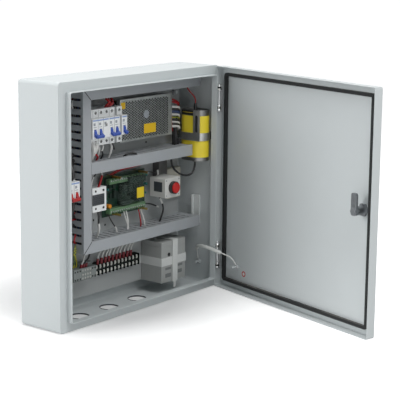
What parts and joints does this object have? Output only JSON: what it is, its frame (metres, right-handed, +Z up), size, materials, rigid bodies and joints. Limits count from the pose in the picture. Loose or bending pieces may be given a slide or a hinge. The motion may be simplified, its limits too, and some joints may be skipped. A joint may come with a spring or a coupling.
{
  "type": "bollard controller",
  "caption": "Wall cabinet that drives a rising bollard: open sealed steel door with cam lock, plate with slotted ducts, breakers, power supply, board, button, terminals and battery.",
  "frame": {"origin": "centre of the back face that lies on the wall, midway between the four wall holes", "axes": "+Z up, +X to the right seen from the front, +Y into the wall, so the opening faces -Y"},
  "size_m": [0.5602, 0.6606, 0.55],
  "materials": {
    "cabinet_grey": "light grey powder coat, fine texture",
    "plate_grey": "grey painted steel, satin",
    "zinc": "zinc plated steel, satin",
    "chrome": "polished plating",
    "seal_black": "foamed seal, matte",
    "duct_grey": "grey plastic, satin",
    "device_white": "white plastic, satin",
    "toggle_blue": "blue plastic, glossy",
    "signal_red": "red plastic, glossy",
    "test_grey": "dark grey plastic",
    "psu_metal": "plain sheet aluminium, dull",
    "black_plastic": "black plastic, satin",
    "can_metal": "drawn aluminium, bright",
    "sleeve_yellow": "yellow sleeve, glossy",
    "lead_red": "red insulation",
    "lead_white": "white grey sleeve",
    "board_green": "green circuit board",
    "terminal_green": "green plastic",
    "coil_orange": "orange lacquer",
    "pillar_brass": "plain brass",
    "clear_cover": "clear acrylic sheet",
    "dark_grey": "dark grey plastic",
    "bracket_dark": "dark painted steel",
    "receiver_cream": "cream plastic",
    "terminal_grey": "grey plastic",
    "battery_grey": "light grey plastic, matte",
    "strap_white": "white woven webbing"
  },
  "bodies": {
    "cabinet": {"barrier_strip": "black_plastic", "battery": "battery_grey", "board": "board_green", "board_coil": "coil_orange", "board_cover": "clear_cover", "board_pillars": "pillar_brass", "board_relays": "black_plastic", "board_terminals": "terminal_green", "bonding_lead": "lead_white", "breaker_double": "device_white", "breaker_left": "device_white", "breaker_rcd": "device_white", "breaker_single": "device_white", "button_bezel": "black_plastic", "button_box": "device_white", "button_bracket": "bracket_dark", "cabinet_shell": "cabinet_grey", "can_body": "can_metal", "can_boot": "black_plastic", "can_cable": "black_plastic", "can_lead": "lead_red", "can_sleeves": "sleeve_yellow", "can_strap": "zinc", "contactor_body": "device_white", "contactor_front": "dark_grey", "cover_left": "duct_grey", "cover_lower": "duct_grey", "cover_middle": "duct_grey", "cover_top": "duct_grey", "din_rails": "zinc", "duct_left": "duct_grey", "duct_lower": "duct_grey", "duct_middle": "duct_grey", "duct_top": "duct_grey", "grey_terminals": "terminal_grey", "hinge_body_leaves": "chrome", "hinge_pins": "chrome", "mounting_plate": "plate_grey", "plate_nuts": "zinc", "psu_chassis": "psu_metal", "psu_cover": "psu_metal", "psu_terminals": "black_plastic", "receiver": "receiver_cream", "strap_across": "strap_white", "strap_upright": "strap_white", "wall_bracket": "cabinet_grey", "wall_earth_nut": "zinc"},
    "door": {"door_panel": "cabinet_grey", "door_gasket": "seal_black", "door_earth_nut": "zinc", "hinge_door_leaves": "chrome", "lock_barrel": "chrome", "lock_nut": "chrome"},
    "cam": {"lock_cam": "chrome"},
    "rcd_lever": {"toggle_rcd": "toggle_blue"},
    "rcd_test": {"test_button": "test_grey"},
    "double_lever": {"toggle_double": "toggle_blue"},
    "single_lever": {"toggle_single": "toggle_blue"},
    "left_lever": {"toggle_left": "signal_red"},
    "push_button": {"red_button": "signal_red"}
  },
  "joints": [
    {"name": "door_hinge", "type": "hinge", "parent": "cabinet", "child": "door", "pos_m": [0.2681, -0.1335, 0], "axis": [0, 0, 1], "range_deg": [-75, 30], "deforming": ["bonding_lead"]},
    {"name": "lock_turn", "type": "hinge", "parent": "door", "child": "cam", "pos_m": [0.13921, -0.61453, 0.004], "axis": [0.9659, -0.2588, 0], "range_deg": [0, 90]},
    {"name": "rcd_switch", "type": "hinge", "parent": "cabinet", "child": "rcd_lever", "pos_m": [-0.116, -0.0855, 0.14801], "axis": [-1, 0, 0], "range_deg": [0, 64]},
    {"name": "double_switch", "type": "hinge", "parent": "cabinet", "child": "double_lever", "pos_m": [-0.062, -0.0855, 0.14801], "axis": [-1, 0, 0], "range_deg": [0, 64]},
    {"name": "single_switch", "type": "hinge", "parent": "cabinet", "child": "single_lever", "pos_m": [-0.028, -0.0855, 0.14801], "axis": [-1, 0, 0], "range_deg": [0, 64]},
    {"name": "left_switch", "type": "hinge", "parent": "cabinet", "child": "left_lever", "pos_m": [-0.194, -0.0855, 0.01599], "axis": [-1, 0, 0], "range_deg": [0, 64]},
    {"name": "test_press", "type": "slide", "parent": "cabinet", "child": "rcd_test", "axis": [0, 1, 0], "range_m": [0, 0.001], "stiffness_N_per_m": 200},
    {"name": "button_press", "type": "slide", "parent": "cabinet", "child": "push_button", "axis": [0, 1, 0], "range_m": [0, 0.004], "stiffness_N_per_m": 400}
  ]
}
